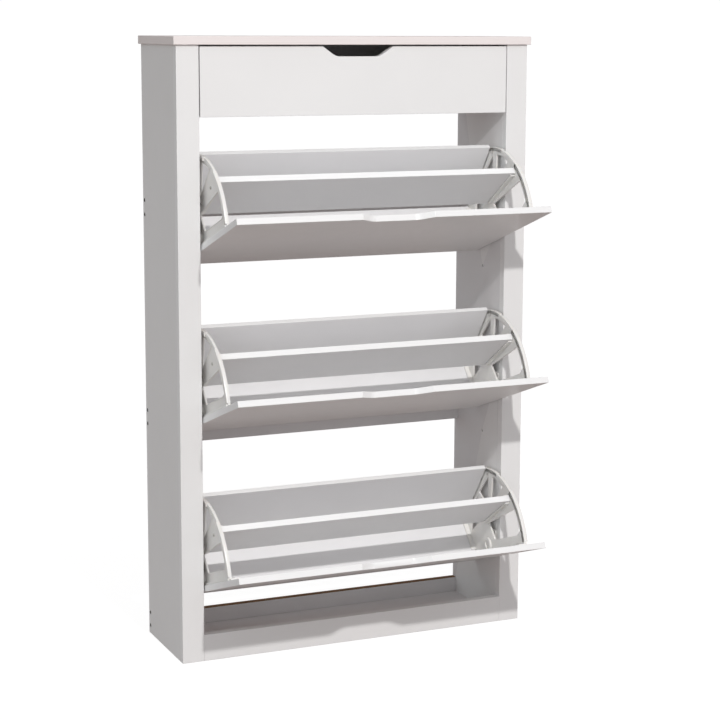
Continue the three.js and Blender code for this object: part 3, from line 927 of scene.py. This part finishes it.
# ---- fasteners ----
def fastener_tree():
    """Screw heads on every point, turned to its 'facing' direction."""
    tree, source, sink = node_group(
        "Fastener heads",
        (
            ("Geometry", "NodeSocketGeometry", None), number("Head Radius", 0.003),
            number("Head Height", 0.0016), number("Recess Width", 0.0034),
            number("Recess Depth", 0.0009), ("Hexagon", "NodeSocketBool", False),
            ("Seed", "NodeSocketInt", 1), ("Material", "NodeSocketMaterial", None),
        ),
        (("Geometry", "NodeSocketGeometry"),),
        "GeometryNodeTree",
    )
    radius, height, width = source["Head Radius"], source["Head Height"], source["Recess Width"]
    head = add_node(tree, "GeometryNodeMeshCone", {
        "Vertices": 28, "Side Segments": 1, "Depth": height, "Radius Bottom": radius,
        "Radius Top": math_node(tree, "MULTIPLY", radius, 0.78),
    })
    top = add_node(tree, "ShaderNodeCombineXYZ", {"Z": height})
    deep = math_node(tree, "MULTIPLY", source["Recess Depth"], 2.0)
    narrow = math_node(tree, "MULTIPLY", width, 0.24)
    cross = add_node(tree, "GeometryNodeJoinGeometry")
    for long_axis, short_axis in (("X", "Y"), ("Y", "X")):
        size = add_node(tree, "ShaderNodeCombineXYZ", {long_axis: width, short_axis: narrow, "Z": deep})
        slot = add_node(tree, "GeometryNodeMeshCube", {"Size": size})
        feed(tree, cross.inputs["Geometry"], slot)
    hexagon = add_node(tree, "GeometryNodeMeshCylinder", {
        "Vertices": 6, "Radius": math_node(tree, "MULTIPLY", width, 0.5), "Depth": deep,
    })
    recess = add_node(tree, "GeometryNodeSwitch", {
        "Switch": source["Hexagon"], "False": cross, "True": hexagon,
    }, input_type="GEOMETRY")
    lifted = add_node(tree, "GeometryNodeTransform", {"Geometry": recess, "Translation": top})
    carve = add_node(tree, "GeometryNodeMeshBoolean", {
        "Self Intersection": True, "Mesh 1": head, "Mesh 2": lifted,
    }, operation="DIFFERENCE", solver="EXACT")

    facing = add_node(
        tree, "GeometryNodeInputNamedAttribute", {"Name": "facing"}, data_type="FLOAT_VECTOR"
    )
    aim = add_node(tree, "FunctionNodeAlignRotationToVector", {"Vector": facing}, axis="Z")
    spin = add_node(
        tree, "FunctionNodeRandomValue", {3: math.tau, "Seed": source["Seed"]}, data_type="FLOAT"
    )
    about = add_node(
        tree, "FunctionNodeAxisAngleToRotation", {"Axis": (0, 0, 1), "Angle": spin.outputs[1]}
    )
    turn = add_node(
        tree, "FunctionNodeRotateRotation", {"Rotation": aim, "Rotate By": about}, rotation_space="LOCAL"
    )
    copies = add_node(tree, "GeometryNodeInstanceOnPoints", {
        "Points": source["Geometry"], "Instance": carve, "Rotation": turn,
    })
    real = add_node(tree, "GeometryNodeRealizeInstances", {"Geometry": copies})
    finish = add_node(tree, "GeometryNodeSetMaterial", {"Geometry": real, "Material": source["Material"]})
    feed(tree, sink["Geometry"], finish)
    return tree


def fasteners(name, body, spots, inputs):
    """One mesh of screw heads; spots holds (place, facing) pairs in metres."""
    tree = bpy.data.node_groups.get("Fastener heads") or fastener_tree()
    mesh = bpy.data.meshes.new(name)
    mesh.from_pydata([tuple(point) for point, _ in spots], [], [])
    facing = mesh.attributes.new("facing", "FLOAT_VECTOR", "POINT")
    for item, (_, direction) in zip(facing.data, spots):
        item.vector = direction
    source = mesh_object(name, mesh)
    modifier = source.modifiers.new("heads", "NODES")
    modifier.node_group = tree
    for item in tree.interface.items_tree:
        if item.item_type == "SOCKET" and item.in_out == "INPUT" and item.name in inputs:
            modifier[item.identifier] = inputs[item.name]
    made = plain_mesh(source)
    discard(source)
    made.name = name
    shade(made, 40)
    return place(mesh_object(name, made), body)


def bracket_screw_spots(index):
    matrix = flap_matrix(index)
    turn = matrix.to_3x3().normalized()
    spots = []
    for _, sign in SIDES:
        for y, z in web_screws():
            point = Vector((sign * (BRACKET_FACE + WEB), y, z))
            spots.append((matrix @ point, turn @ Vector((sign, 0, 0))))
        for z in FLANGE_SCREWS:
            point = Vector((sign * FLANGE_SCREW_X, FLANGE_FAR, z))
            spots.append((matrix @ point, turn @ Vector((0, 1, 0))))
    return spots


def plate_screw_spots():
    spots = []
    for index in FLAPS:
        pivot = joint_point(f"flap_{index}_tip")
        for _, sign in SIDES:
            for y, z in PLATE_SCREWS:
                point = pivot + Vector((sign * (INNER_FACE - PLATE), y, z)) * MM
                spots.append((point, (-sign, 0, 0)))
    return spots


def rail_places():
    """Rear edge and heights, in metres, of the screws in a side."""
    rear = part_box("left_side_panel")[1].y
    return [(rear - RAIL_SCREW_INSET * MM, z * MM) for z in RAIL_SCREW_HEIGHTS]


def rail_screw_spots():
    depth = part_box("right_side_panel")[1].x - RAIL_SCREW_SINK
    return [(Vector((sign * depth, y, z)), (sign, 0, 0)) for _, sign in SIDES for y, z in rail_places()]


# ---- stage ----
CAMERA_PLACE = Vector((-1.4585, -3.3426, 1.2089))
CAMERA_YAW = 0.4136
CAMERA_PITCH = -0.1566
CAMERA_ROLL = -0.0033
CAMERA_SHIFT = -0.045
KEY_PLACE = (-0.25, -2.5, 2.43)
KEY_RADIUS = 0.05
KEY_COLOR = (1.0, 0.99, 0.98)
WHITE = (1.0, 1.0, 1.0)
BACKDROP_STRENGTH = 1.02
FLOOR_SIZE = 60.0
FLOOR_DROP = 0.0005            # keeps the floor just under the cabinet's foot
FLOOR_PAPER = (0.14, 0.138, 0.136)
FLOOR_BOUNCE = (0.23, 0.19, 0.18)
FLOOR_SEEN = (0.94, 0.94, 0.94)


def make_camera(lens):
    data = bpy.data.cameras.new("camera")
    data.lens = lens
    data.shift_y = CAMERA_SHIFT
    data.clip_start = 0.05
    data.clip_end = 200
    camera = link(bpy.data.objects.new("camera", data))
    forward = Vector((
        math.sin(CAMERA_YAW) * math.cos(CAMERA_PITCH),
        math.cos(CAMERA_YAW) * math.cos(CAMERA_PITCH),
        math.sin(CAMERA_PITCH),
    ))
    level = Vector((math.cos(CAMERA_YAW), -math.sin(CAMERA_YAW), 0))
    upright = level.cross(forward)
    right = level * math.cos(CAMERA_ROLL) - upright * math.sin(CAMERA_ROLL)
    up = level * math.sin(CAMERA_ROLL) + upright * math.cos(CAMERA_ROLL)
    turn = Matrix((right, up, -forward)).transposed().to_4x4()
    camera.matrix_world = Matrix.Translation(CAMERA_PLACE) @ turn
    bpy.context.scene.camera = camera


def make_key(strength):
    """A lamp in front of the cabinet whose light doesn't fade with distance."""
    data = bpy.data.lights.new("key", "POINT")
    data.energy = 1.0
    data.shadow_soft_size = KEY_RADIUS
    data.color = KEY_COLOR
    data.use_nodes = True
    tree = data.node_tree
    emission = next(node for node in tree.nodes if node.type == "EMISSION")
    falloff = add_node(tree, "ShaderNodeLightFalloff", {"Strength": strength})
    feed(tree, emission.inputs["Strength"], falloff.outputs["Constant"])
    key = link(bpy.data.objects.new("key", data))
    key.location = KEY_PLACE


def make_surroundings(front, side, rear):
    """Brighter in front and on the left than behind, and plain white to look at."""
    world = bpy.data.worlds.new("surroundings")
    bpy.context.scene.world = world
    world.use_nodes = True
    tree = world.node_tree
    tree.nodes.clear()
    direction = add_node(tree, "ShaderNodeTexCoord").outputs["Generated"]
    split = add_node(tree, "ShaderNodeSeparateXYZ", {"Vector": direction}).outputs
    toward_rear = range_node(tree, split["Y"], -0.2, 0.5)
    toward_left = range_node(tree, split["X"], -0.55, -0.85)
    ahead = mix_color(tree, toward_rear, rgba(front), rgba(rear))
    fill = mix_color(tree, toward_left, ahead, rgba(side))
    lit = add_node(tree, "ShaderNodeBackground", {"Color": fill})
    seen = add_node(tree, "ShaderNodeBackground", {"Color": rgba(WHITE), "Strength": BACKDROP_STRENGTH})
    path = add_node(tree, "ShaderNodeLightPath")
    mix = add_node(tree, "ShaderNodeMixShader", {
        "Fac": path.outputs["Is Camera Ray"], 1: lit, 2: seen,
    })
    add_node(tree, "ShaderNodeOutputWorld", {"Surface": mix})


def make_floor():
    """A large pale sheet that looks white and throws a little warm light upward."""
    shape = bmesh.new()
    bmesh.ops.create_grid(shape, x_segments=8, y_segments=8, size=FLOOR_SIZE / 2)
    mesh = stored(shape, bpy.data.meshes.new("floor"))
    mesh.transform(Matrix.Translation((0, 0, -FLOOR_DROP)))
    material = bpy.data.materials.new("floor_paper")
    material.use_nodes = True
    tree = material.node_tree
    tree.nodes.clear()
    paper = add_node(tree, "ShaderNodeBsdfDiffuse", {"Color": rgba(FLOOR_PAPER)})
    path = add_node(tree, "ShaderNodeLightPath")
    color = mix_color(tree, path.outputs["Is Camera Ray"], rgba(FLOOR_BOUNCE), rgba(FLOOR_SEEN))
    glow = add_node(tree, "ShaderNodeEmission", {"Color": color})
    both = add_node(tree, "ShaderNodeAddShader", {0: paper, 1: glow})
    add_node(tree, "ShaderNodeOutputMaterial", {"Surface": both})
    mesh.materials.append(material)
    mesh_object("floor", mesh)


# ---- operators ----
BARE_FOOT = ((0, 0, -1),)
BARE_FOOT_AND_REAR = ((0, 0, -1), (0, 1, 0))
SCREW_SEAT = (0.0043, 0.0025)  # radius and depth, in metres
PIN_HOLE = (0.0026, 0.009)


class MakeStage(bpy.types.Operator):
    """Camera, key light, surroundings and floor"""
    bl_idname = "shoe_cabinet.stage"
    bl_label = "Stage"

    def execute(self, context):
        settings = context.scene.shoe_stage
        context.scene.view_settings.view_transform = "Standard"
        make_camera(settings.lens)
        make_key(settings.key_strength)
        make_surroundings(settings.front_fill, settings.side_fill, settings.rear_fill)
        make_floor()
        return {"FINISHED"}


class MakeOuterBoards(bpy.types.Operator):
    """Top panel, sides, stiles and plinth"""
    bl_idname = "shoe_cabinet.outer_boards"
    bl_label = "Outer boards"

    def execute(self, context):
        settings = context.scene.shoe_boards
        finish_board(
            "top_panel", "top_foil", "top_board",
            radius=settings.top_round, raw_faces=((0, 1, 0),), edge="top_foil",
        )
        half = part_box("right_side_panel")[1].x
        for side, sign in SIDES:
            seats = [(Vector((sign * half, y, z)), (sign, 0, 0), *SCREW_SEAT) for y, z in rail_places()]
            finish_outer(f"{side}_side_panel", raw_faces=BARE_FOOT_AND_REAR, drill=seats)
            finish_outer(f"{side}_front_stile", raw_faces=BARE_FOOT)
        finish_outer("plinth_rail", raw_faces=BARE_FOOT)
        return {"FINISHED"}


class MakeInnerBoards(bpy.types.Operator):
    """Linings, battens, rails, bottom and the deck under the drawer"""
    bl_idname = "shoe_cabinet.inner_boards"
    bl_label = "Inner boards"

    def execute(self, context):
        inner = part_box("right_inner_panel")[0].x
        for side, sign in SIDES:
            holes = [
                (Vector((sign * inner, y * MM, z * MM)), (sign, 0, 0), *PIN_HOLE)
                for y, z in SHELF_PIN_HOLES
            ]
            for part, drill in (("inner_panel", holes), ("rear_batten", ()), ("foot_batten", ())):
                finish_inner(f"{side}_{part}", raw_faces=BARE_FOOT_AND_REAR, drill=drill)
        for node in ("bottom_board", "drawer_deck", "rear_middle_rail", "rear_upper_rail", "rear_top_rail"):
            finish_inner(node)
        finish_inner("rear_bottom_rail", raw_faces=((0, 0, 1),))
        return {"FINISHED"}


class MakeDrawer(bpy.types.Operator):
    """Drawer front, box and its runners"""
    bl_idname = "shoe_cabinet.drawer"
    bl_label = "Drawer"

    def execute(self, context):
        finish_outer("drawer_front")
        for node in ("drawer_left_side", "drawer_right_side", "drawer_back", "drawer_bottom"):
            finish_inner(node)
        for side, _ in SIDES:
            finish_runner(f"drawer_{side}_runner")
            finish_runner(f"{side}_drawer_channel")
        return {"FINISHED"}


class MakeFlapBoards(bpy.types.Operator):
    """Doors, dividers, back boards and lower boards of the flaps"""
    bl_idname = "shoe_cabinet.flap_boards"
    bl_label = "Flap boards"

    def execute(self, context):
        for index in FLAPS:
            finish_outer(f"flap_{index}_door")
            for name in ("divider", "back_board", "lower_board"):
                finish_inner(f"flap_{index}_{name}")
        return {"FINISHED"}


class MakeBrackets(bpy.types.Operator):
    """Swing brackets of the flaps"""
    bl_idname = "shoe_cabinet.brackets"
    bl_label = "Swing brackets"

    def execute(self, context):
        make_mouldings(bracket_solids(), "bracket", "white_moulding", flap_matrix)
        return {"FINISHED"}


class MakePlates(bpy.types.Operator):
    """Pivot plates on the side walls"""
    bl_idname = "shoe_cabinet.plates"
    bl_label = "Pivot plates"

    def execute(self, context):
        make_mouldings(
            plate_solids(), "pivot_plate", "grey_moulding", pivot_matrix, body="cabinet"
        )
        return {"FINISHED"}


class MakeFasteners(bpy.types.Operator):
    """Screw heads in the brackets, the plates and the sides"""
    bl_idname = "shoe_cabinet.fasteners"
    bl_label = "Fasteners"

    def execute(self, context):
        settings = context.scene.shoe_fittings
        small = {
            "Head Radius": settings.screw_radius,
            "Recess Width": settings.screw_radius * 1.1,
            "Material": material_named("zinc_screw"),
        }
        for index in FLAPS:
            fasteners(
                f"flap_{index}_screws", f"flap_{index}",
                bracket_screw_spots(index), {**small, "Seed": index},
            )
        fasteners("plate_screws", "cabinet", plate_screw_spots(), {**small, "Seed": 7})
        large = {
            "Head Radius": settings.rail_screw_radius,
            "Head Height": 0.001,
            "Recess Width": settings.rail_screw_radius,
            "Recess Depth": 0.0008,
            "Hexagon": True,
            "Seed": 11,
            "Material": material_named("dark_screw"),
        }
        fasteners("rail_screws", "cabinet", rail_screw_spots(), large)
        return {"FINISHED"}


class CabinetPanel(bpy.types.Panel):
    """Sizes, colours and pieces of the shoe cabinet"""
    bl_idname = "VIEW3D_PT_shoe_cabinet"
    bl_label = "Shoe cabinet"
    bl_space_type = "VIEW_3D"
    bl_region_type = "UI"
    bl_category = "Shoe cabinet"

    def draw(self, context):
        for settings in (context.scene.shoe_boards, context.scene.shoe_fittings, context.scene.shoe_stage):
            column = self.layout.column()
            for name in settings.__annotations__:
                column.prop(settings, name)
        for operator in OPERATORS:
            self.layout.operator(operator.bl_idname)


OPERATORS = (
    MakeStage, MakeOuterBoards, MakeInnerBoards, MakeDrawer,
    MakeFlapBoards, MakeBrackets, MakePlates, MakeFasteners,
)
SETTINGS = (
    ("shoe_boards", BoardSettings),
    ("shoe_fittings", FittingSettings),
    ("shoe_stage", StageSettings),
)


def register():
    for name, group in SETTINGS:
        bpy.utils.register_class(group)
        setattr(bpy.types.Scene, name, bpy.props.PointerProperty(type=group))
    for operator in OPERATORS:
        bpy.utils.register_class(operator)
    bpy.utils.register_class(CabinetPanel)


def unregister():
    bpy.utils.unregister_class(CabinetPanel)
    for operator in reversed(OPERATORS):
        bpy.utils.unregister_class(operator)
    for name, group in reversed(SETTINGS):
        delattr(bpy.types.Scene, name)
        bpy.utils.unregister_class(group)


def main():
    register()
    for operator in OPERATORS:
        family, name = operator.bl_idname.split(".")
        getattr(getattr(bpy.ops, family), name)()


if __name__ == "__main__":
    main()
